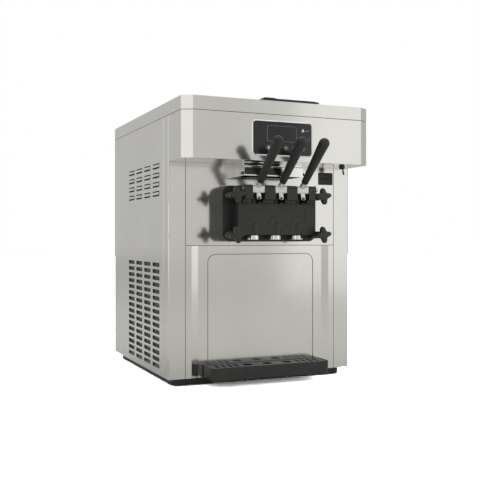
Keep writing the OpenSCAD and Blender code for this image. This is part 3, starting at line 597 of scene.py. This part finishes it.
SCREEN_DEPTH = 6.8 * MM
SCREEN_WIRE = 0.45 * MM
SCREEN_PITCH = 3.0 * MM
SCREEN_BACKING = (2.0 * SCREEN_WIRE, 3.2 * SCREEN_WIRE)
SCREEN_SPAN = (70, 398)
# The upper screens take the darker copy of the screen paint, as painted shade in the upper vents.
SCREEN_LEVELS = (("lower", 34, 330, SCREEN_GREY), ("upper", 500, 600, SCREEN_PAINTED_SHADE))
# A box's faces, by its corners in the order of X, then Y, then Z.
BOX_FACES = ((0, 1, 3, 2), (4, 6, 7, 5), (0, 4, 5, 1), (2, 3, 7, 6), (0, 2, 6, 4), (1, 5, 7, 3))


def add_box(bm, a, b):
    corners = [
        bm.verts.new((x, y, z)) for x in (a[0], b[0]) for y in (a[1], b[1]) for z in (a[2], b[2])
    ]
    for face in BOX_FACES:
        bm.faces.new([corners[i] for i in face])


def dust_screen(name, x, inward, near, far, material):
    """Crossed wires in a plane of constant X, with a thin backing sheet further inward."""
    (_, y0, z0), (_, y1, z1) = near, far
    bm = bmesh.new()
    half = SCREEN_WIRE / 2
    across = int((y1 - y0) / SCREEN_PITCH)
    upward = int((z1 - z0) / SCREEN_PITCH)
    for i in range(across + 1):
        y = y0 + (y1 - y0) * i / across
        add_box(bm, (x - half, y - half, z0), (x + half, y + half, z1))
    for i in range(upward + 1):
        z = z0 + (z1 - z0) * i / upward
        add_box(bm, (x - half, y0, z - half), (x + half, y1, z + half))
    front, back = (x + inward * depth for depth in SCREEN_BACKING)
    add_box(bm, (front, y0, z0), (back, y1, z1))
    add_piece(name, mesh_of(bm, name, False), material, "root")


for side, wall, inward in (
    ("left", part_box("left_side_panel")[0].x, 1),
    ("right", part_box("right_side_panel")[1].x, -1),
):
    for level, z0, z1, material in SCREEN_LEVELS:
        near, far = place(0, SCREEN_SPAN[0], z0), place(0, SCREEN_SPAN[1], z1)
        name = f"{side}_{level}_dust_screen"
        dust_screen(name, wall + inward * SCREEN_DEPTH, inward, near, far, material)


# ---- Painted shade under the lamp box, and panes on its front -------------------

LAMP_HALF, LAMP_FRONT = 86, -72
SHADE_SHEET_INSET, SHADE_SHEET_THICKNESS, SHADE_SHEET_RISE = 3.4, 0.12, 0.25
PANE_DEPTHS = (LAMP_FRONT - 0.3, LAMP_FRONT + 0.2)

lo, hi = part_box("lamp_housing")
x = LAMP_HALF - SHADE_SHEET_INSET
y0, y1 = off_front(lo.y) + SHADE_SHEET_INSET, off_front(hi.y) - SHADE_SHEET_INSET
z = lo.z / MM + SHADE_SHEET_RISE
# A thin matt black sheet under the lamp box is painted shade, standing for the dark inside of the box.
loft(
    "lamp_underside_painted_shade",
    [
        [place(*corner, level) for corner in ((-x, y0), (x, y0), (x, y1), (-x, y1))]
        for level in (z, z + SHADE_SHEET_THICKNESS)
    ],
    MATT_BLACK_AND_SHADE,
    "root",
    "gloss_black",
)
for name, outline in (
    ("lamp_left_ear_pane", ((-86.6, 559.0), (-94.2, 561.4), (-86.6, 569.0))),
    ("lamp_right_ear_pane", ((86.6, 559.0), (94.2, 561.4), (86.6, 569.0))),
    ("lamp_left_border_pane", ((-85.4, 558.6), (-83.1, 558.6), (-83.1, 577.6), (-85.4, 577.6))),
):
    loft(
        name,
        [[place(x, y, z) for x, z in outline] for y in PANE_DEPTHS],
        MATT_BLACK_AND_SHADE,
        "root",
        "gloss_black",
    )


# ---- Screws ------------------------------------------------------------------

LEVER_SCREW = {"radius": 3.1, "along": 21, "out": 9.5, "lean": math.radians(12)}
REAR_SCREW_RADIUS, REAR_SCREW_X, REAR_SCREW_HEIGHTS = 3.9, 262, (60, 260, 460, 660)
# Shares of the head's radius: the dome's height and flat top.
DOME_HEIGHT, DOME_TOP = 0.55, 0.25
# Points of the recess, as shares of the head's height and radius.
RECESS = ((0.97, 0.2), (0.45, 0.16), (0.4, 0.0))
HEAD_SUNK = 0.4
DOME_STEPS, SCREW_STEPS = 8, 28


def pan_screw(name, at, outward, radius, body, material, slot):
    """A domed screw head with a small round recess, standing on the point it is given."""
    height = radius * DOME_HEIGHT
    profile = [(-HEAD_SUNK * MM, radius * 0.98), (0.0, radius)]
    for k in range(1, DOME_STEPS):
        a = math.pi / 2 * k / DOME_STEPS
        share = DOME_TOP + (1 - DOME_TOP) * math.cos(a)
        profile.append((height * math.sin(a), radius * share))
    profile += [(height * along, radius * share) for along, share in RECESS]
    lathe(name, at, outward, profile, material, body, slot, steps=SCREW_STEPS)


def lever_pivot(side):
    """The point on a handle's hinge line in the middle of its lever."""
    lo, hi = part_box(side + "_lever")
    pivot = Vector(JOINTS[side + "_handle_pull"]["pos_m"])
    pivot.x = (lo.x + hi.x) / 2
    return pivot


lean = LEVER_SCREW["lean"]
outward = Vector((0, -math.cos(lean), -math.sin(lean)))
down = Vector((0, -math.sin(lean), -math.cos(lean)))
for side in HANDLES:
    pan_screw(
        side + "_lever_screw",
        lever_pivot(side) + down * LEVER_SCREW["along"] * MM + outward * LEVER_SCREW["out"] * MM,
        outward,
        LEVER_SCREW["radius"] * MM,
        side + "_handle",
        DARK_SCREW_AND_SHADE,
        "cast_steel",
    )

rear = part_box("rear_panel")[1].y
places = [(x, z) for x in (-REAR_SCREW_X, REAR_SCREW_X) for z in REAR_SCREW_HEIGHTS]
for i, (x, z) in enumerate(places, 1):
    pan_screw(
        f"rear_screw_{i}",
        Vector((x * MM, rear, z * MM)),
        (0, 1, 0),
        REAR_SCREW_RADIUS * MM,
        "root",
        MATERIALS["polished_steel"],
        "polished_steel",
    )


# ---- Handles -----------------------------------------------------------------

TILT = math.radians(41.5)
ALONG = Vector((0, -math.cos(TILT), math.sin(TILT)))
ABOVE = Vector((0, math.sin(TILT), math.cos(TILT)))
# The grip's axis passes this far above the hinge line. Lengths along it start there.
GRIP_RISE = 2.3
GRIP_START, GRIP_END, BASE_RADIUS, TIP_RADIUS, BORE_RADIUS = 26.0, 178.4, 9.2, 13.5, 5.4
# The rounding at the lower end: (distance along, distance in from the base radius).
BASE_ROUNDING = ((0.0, 1.6), (0.5, 0.8), (1.6, 0.2))
TAPER_STEPS, TIP_STEPS = 12, 16


def grip_profile():
    """A cone that widens upward from a rounded end, and a half ball for its tip."""
    points = [(GRIP_START, BORE_RADIUS)]
    points += [(GRIP_START + along, BASE_RADIUS - inset) for along, inset in BASE_ROUNDING]
    start, neck = points[-1][0], GRIP_END - TIP_RADIUS
    for k in range(1, TAPER_STEPS + 1):
        t = k / TAPER_STEPS
        points.append((start + (neck - start) * t, BASE_RADIUS + (TIP_RADIUS - BASE_RADIUS) * t))
    for k in range(1, TIP_STEPS):
        a = math.pi / 2 * k / TIP_STEPS
        points.append((neck + TIP_RADIUS * math.sin(a), TIP_RADIUS * math.cos(a)))
    points.append((GRIP_END, 0.0))
    return [(along * MM, radius * MM) for along, radius in points]


for side in HANDLES:
    lathe(
        side + "_grip_moulding",
        lever_pivot(side) + ABOVE * GRIP_RISE * MM,
        ALONG,
        grip_profile(),
        MATERIALS["grip_plastic"],
        side + "_handle",
        "grip_plastic",
        [side + "_grip"],
    )


# ---- Star knobs --------------------------------------------------------------

STAR_STEPS = 96
STAR_TURN = math.radians(10)
STAR_VALLEY, STAR_LOBE, STAR_SHARPNESS = 12.4, 9.6, 2.6
# The valleys take this share of an inset, and no radius goes below the least one.
VALLEY_SHARE, LEAST_RADIUS = 0.7, 0.4
# Rings of (distance behind the front, inset): the back and the side, then the dished front.
STAR_SIDE = ((13.0, 0.8), (12.2, 0.0), (3.2, 0.0))
STAR_DISH = ((0.5, 5.5), (0.2, 7.0), (0.05, 8.5), (0.0, 10.5))
# The rounding between the two takes this depth and width.
ROUNDING_DEPTH, ROUNDING_WIDTH, ROUNDING_STEPS = 2.4, 3.0, 6
SLEEVE_START, SLEEVE_RADIUS, SLEEVE_BORE = 12.5, 9.5, 5.2
# The sleeve's far end: (distance short of the end, radius).
SLEEVE_TIP = ((2.0, 9.5), (0.7, 9.1), (0.0, 8.3))


def star_outline(x, z, y, inset):
    """A four-lobed ring in a plane of constant Y, drawn in by about the inset."""
    ring = []
    for i in range(STAR_STEPS):
        a = 2 * math.pi * i / STAR_STEPS
        lobe = abs(math.cos(2 * (a - STAR_TURN))) ** STAR_SHARPNESS
        r = STAR_VALLEY + STAR_LOBE * lobe
        r -= inset * (VALLEY_SHARE + (1 - VALLEY_SHARE) * lobe)
        r = max(r, LEAST_RADIUS)
        ring.append(place(x + r * math.cos(a), y, z + r * math.sin(a)))
    return ring


def star_sections():
    sections = list(STAR_SIDE)
    for k in range(1, ROUNDING_STEPS + 1):
        a = math.pi / 2 * k / ROUNDING_STEPS
        depth = STAR_SIDE[-1][0] - ROUNDING_DEPTH * math.sin(a)
        sections.append((depth, ROUNDING_WIDTH * (1 - math.cos(a))))
    return sections + list(STAR_DISH)


for node_name in ("upper_left_knob", "upper_right_knob", "lower_left_knob", "lower_right_knob"):
    lo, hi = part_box(node_name)
    cx, cz = (lo.x + hi.x) / 2 / MM, (lo.z + hi.z) / 2 / MM
    front, back = off_front(lo.y), off_front(hi.y)
    dress = (MATERIALS["black_plastic"], BODY_OF[node_name], "black_plastic", [node_name])
    loft(
        node_name + "_head",
        [star_outline(cx, cz, front + depth, inset) for depth, inset in star_sections()],
        *dress,
        smooth=True,
    )
    length = back - front - SLEEVE_START
    sleeve = [(0, SLEEVE_BORE), (0, SLEEVE_RADIUS)]
    sleeve += [(length - short, radius) for short, radius in SLEEVE_TIP]
    sleeve += [(length, SLEEVE_BORE), (0, SLEEVE_BORE)]
    lathe(
        node_name + "_sleeve",
        place(cx, front + SLEEVE_START, cz),
        (0, 1, 0),
        [(along * MM, radius * MM) for along, radius in sleeve],
        *dress,
    )


# ---- Display rim and marks -----------------------------------------------------

BEZEL_RADIUS = 10
# Pairs of (distance out from the bezel's edge, Y from the head's front).
RIM_SECTION = ((1.7, 0.1), (1.7, -0.02), (0.05, -1.0), (-0.2, -1.0), (-0.2, 0.1))

lo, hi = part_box("display_bezel")
x0, x1, z0, z1 = (v / MM for v in (lo.x, hi.x, lo.z, hi.z))
head_y = off_front(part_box("head_canopy")[0].y)
loft(
    "display_rim",
    [
        window_points(x0 - out, x1 + out, z0 - out, z1 + out, BEZEL_RADIUS + out, head_y + y)
        for out, y in RIM_SECTION
    ],
    MATERIALS["polished_steel"],
    "root",
    "polished_steel",
    hoop=True,
)

MARK_LIFT = 0.02
PRINT_FRONT, PRINT_BACK = 0.12, 0.1
SCREEN_WINDOW, SCREEN_RADIUS, OUTLINE_WIRE = (-40, 44, 643, 683), 2.5, 0.45
BUTTON_XS, BUTTON_Z, BUTTON_RADIUS, RING_WIRE = (-36, -11, 14, 39, 64), 626, 6.2, 0.4
LAMP_RING = (81, 652, 2.4)
SYMBOL_WIRE = 0.65
marks_y = off_front(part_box("touch_panel")[0].y) - MARK_LIFT


def ring_path(cx, cz, r, n=24, start=0.0):
    """A ring of n points, which with few points is a triangle, a square or a hexagon."""
    angles = [start + 2 * math.pi * i / n for i in range(n)]
    return [place(cx + r * math.cos(a), marks_y, cz + r * math.sin(a)) for a in angles]


buttons = [ring_path(x, BUTTON_Z, BUTTON_RADIUS) for x in BUTTON_XS]
symbols = [
    ring_path(-11, 626, 2.8, 3, math.pi / 2),
    ring_path(14, 626.5, 3.4, 4),
    ring_path(64, 626, 2.8, 6),
]
for name, paths, wire, material in (
    (
        "display_outline",
        [window_points(*SCREEN_WINDOW, SCREEN_RADIUS, marks_y)],
        OUTLINE_WIRE,
        PRINT_DIM,
    ),
    ("display_button_rings", buttons + [ring_path(*LAMP_RING)], RING_WIRE, PRINT_DIM),
    ("display_button_marks", symbols, SYMBOL_WIRE, PRINT_PALE),
):
    tube(name, paths, wire, material, cyclic=True)

for mark, cx, cz, outline in (
    ("up", 63.5, 675, [(-4.4, -4), (4.4, -4), (0, 5)]),
    ("bar", 76.5, 674, [(-5.5, -1.1), (5.5, -1.1), (5.5, 1.1), (-5.5, 1.1)]),
    ("drop", -36, 626.5, [(0, -4.6), (3.2, 0), (0, 4.6), (-3.2, 0)]),
    ("slash", 39, 626, [(-3.2, -4.2), (-1.4, -4.2), (3.2, 4.2), (1.4, 4.2)]),
):
    loft(
        f"display_{mark}_mark",
        [
            [place(cx + a, y, cz + b) for a, b in outline]
            for y in (marks_y - PRINT_FRONT, marks_y + PRINT_BACK)
        ],
        PRINT_DIM if mark == "bar" else PRINT_PALE,
        "root",
        "gloss_black",
    )


# ---- Stage, light and camera --------------------------------------------------

# The floor's pale colour is far over 1, so that the picture shows it white in the soft light.
STUDIO_WHITE, STUDIO_STRENGTH = (1.0, 1.0, 0.99, 1.0), 0.57
BACKDROP_WHITE, BACKDROP_STRENGTH = (1.0, 1.0, 1.0, 1.0), 1.0
FLOOR_DULL, FLOOR_PALE = (0.84, 0.84, 0.82, 1.0), (9.0, 9.0, 9.0, 1.0)
FLOOR_SIZE, FLOOR_CELLS, FLOOR_DROP = 14, 8, 0.5
TARGET = Vector((0, 0, 0.39))

scene = bpy.context.scene
scene.view_settings.view_transform = "Standard"


def split_by_ray(tree, output_kind, for_others, for_camera):
    """Shows one shader to the camera's own rays and another to all other rays."""
    output = tree.nodes.new(output_kind)
    mix = tree.nodes.new("ShaderNodeMixShader")
    path = tree.nodes.new("ShaderNodeLightPath")
    tree.links.new(path.outputs["Is Camera Ray"], mix.inputs[0])
    tree.links.new(for_others.outputs[0], mix.inputs[1])
    tree.links.new(for_camera.outputs[0], mix.inputs[2])
    tree.links.new(mix.outputs[0], output.inputs[0])


def background(tree, color, strength):
    node = tree.nodes.new("ShaderNodeBackground")
    node.inputs["Color"].default_value = color
    node.inputs["Strength"].default_value = strength
    return node


def diffuse(tree, color):
    node = tree.nodes.new("ShaderNodeBsdfDiffuse")
    node.inputs["Color"].default_value = color
    return node


world = bpy.data.worlds.new("studio")
scene.world = world
world.use_nodes = True
tree = world.node_tree
tree.nodes.clear()
split_by_ray(
    tree,
    "ShaderNodeOutputWorld",
    background(tree, STUDIO_WHITE, STUDIO_STRENGTH),
    background(tree, BACKDROP_WHITE, BACKDROP_STRENGTH),
)


def area_light(name, width, height, radiance, location, rotation):
    data = bpy.data.lights.new(name, "AREA")
    data.shape = "RECTANGLE"
    data.size = width
    data.size_y = height
    data.energy = radiance * math.pi * width * height
    obj = bpy.data.objects.new(name, data)
    obj.location = location
    obj.rotation_euler = rotation
    obj.visible_camera = False
    scene.collection.objects.link(obj)


def softbox(name, azimuth, distance, width, height, z, radiance):
    """An upright light that faces the machine. Azimuth 0 is in front and 90 to the right."""
    a = math.radians(azimuth)
    location = TARGET + Vector((math.sin(a) * distance, -math.cos(a) * distance, z - TARGET.z))
    facing = Vector((TARGET.x, TARGET.y, z)) - location
    rotation = facing.to_track_quat("-Z", "Y").to_euler()
    area_light(name, width, height, radiance, location, rotation)


# Name, azimuth, distance, width, height, its middle above the floor, radiance.
for row in (
    ("right_softbox", 51.2, 3.0, 2.8, 2.54, 1.30, 0.44),
    ("far_right_softbox", 123, 3.0, 1.8, 2.3, 1.3, 0.35),
    ("left_softbox", -43, 3.2, 1.0, 2.3, 1.3, 0.45),
    ("front_softbox", 8, 3.6, 2.4, 2.6, 1.3, 0.10),
):
    softbox(*row)
area_light("top_softbox", 3.0, 3.0, 0.5, location=(0, 0, 2.9), rotation=(0, 0, 0))

floor_mesh = bpy.data.meshes.new("floor")
bm = bmesh.new()
bmesh.ops.create_grid(bm, x_segments=FLOOR_CELLS, y_segments=FLOOR_CELLS, size=FLOOR_SIZE)
bm.to_mesh(floor_mesh)
bm.free()
floor = bpy.data.objects.new("floor", floor_mesh)
floor.location.z = cad_bounds[0].z - FLOOR_DROP * MM
scene.collection.objects.link(floor)
floor_paint = bpy.data.materials.new("pale_floor")
floor_paint.use_nodes = True
tree = floor_paint.node_tree
tree.nodes.clear()
split_by_ray(
    tree, "ShaderNodeOutputMaterial", diffuse(tree, FLOOR_DULL), diffuse(tree, FLOOR_PALE)
)
floor_mesh.materials.append(floor_paint)

# Fitted to the photograph's edges.
camera_data = bpy.data.cameras.new("camera")
camera_data.sensor_width = 36
camera_data.lens = 57.87
camera_data.shift_y = -0.0047
camera = bpy.data.objects.new("camera", camera_data)
camera.location = (-0.8922, -2.08826, 0.3929)
camera.rotation_euler = (math.radians(90), 0, math.radians(-23.281))
scene.collection.objects.link(camera)
scene.camera = camera
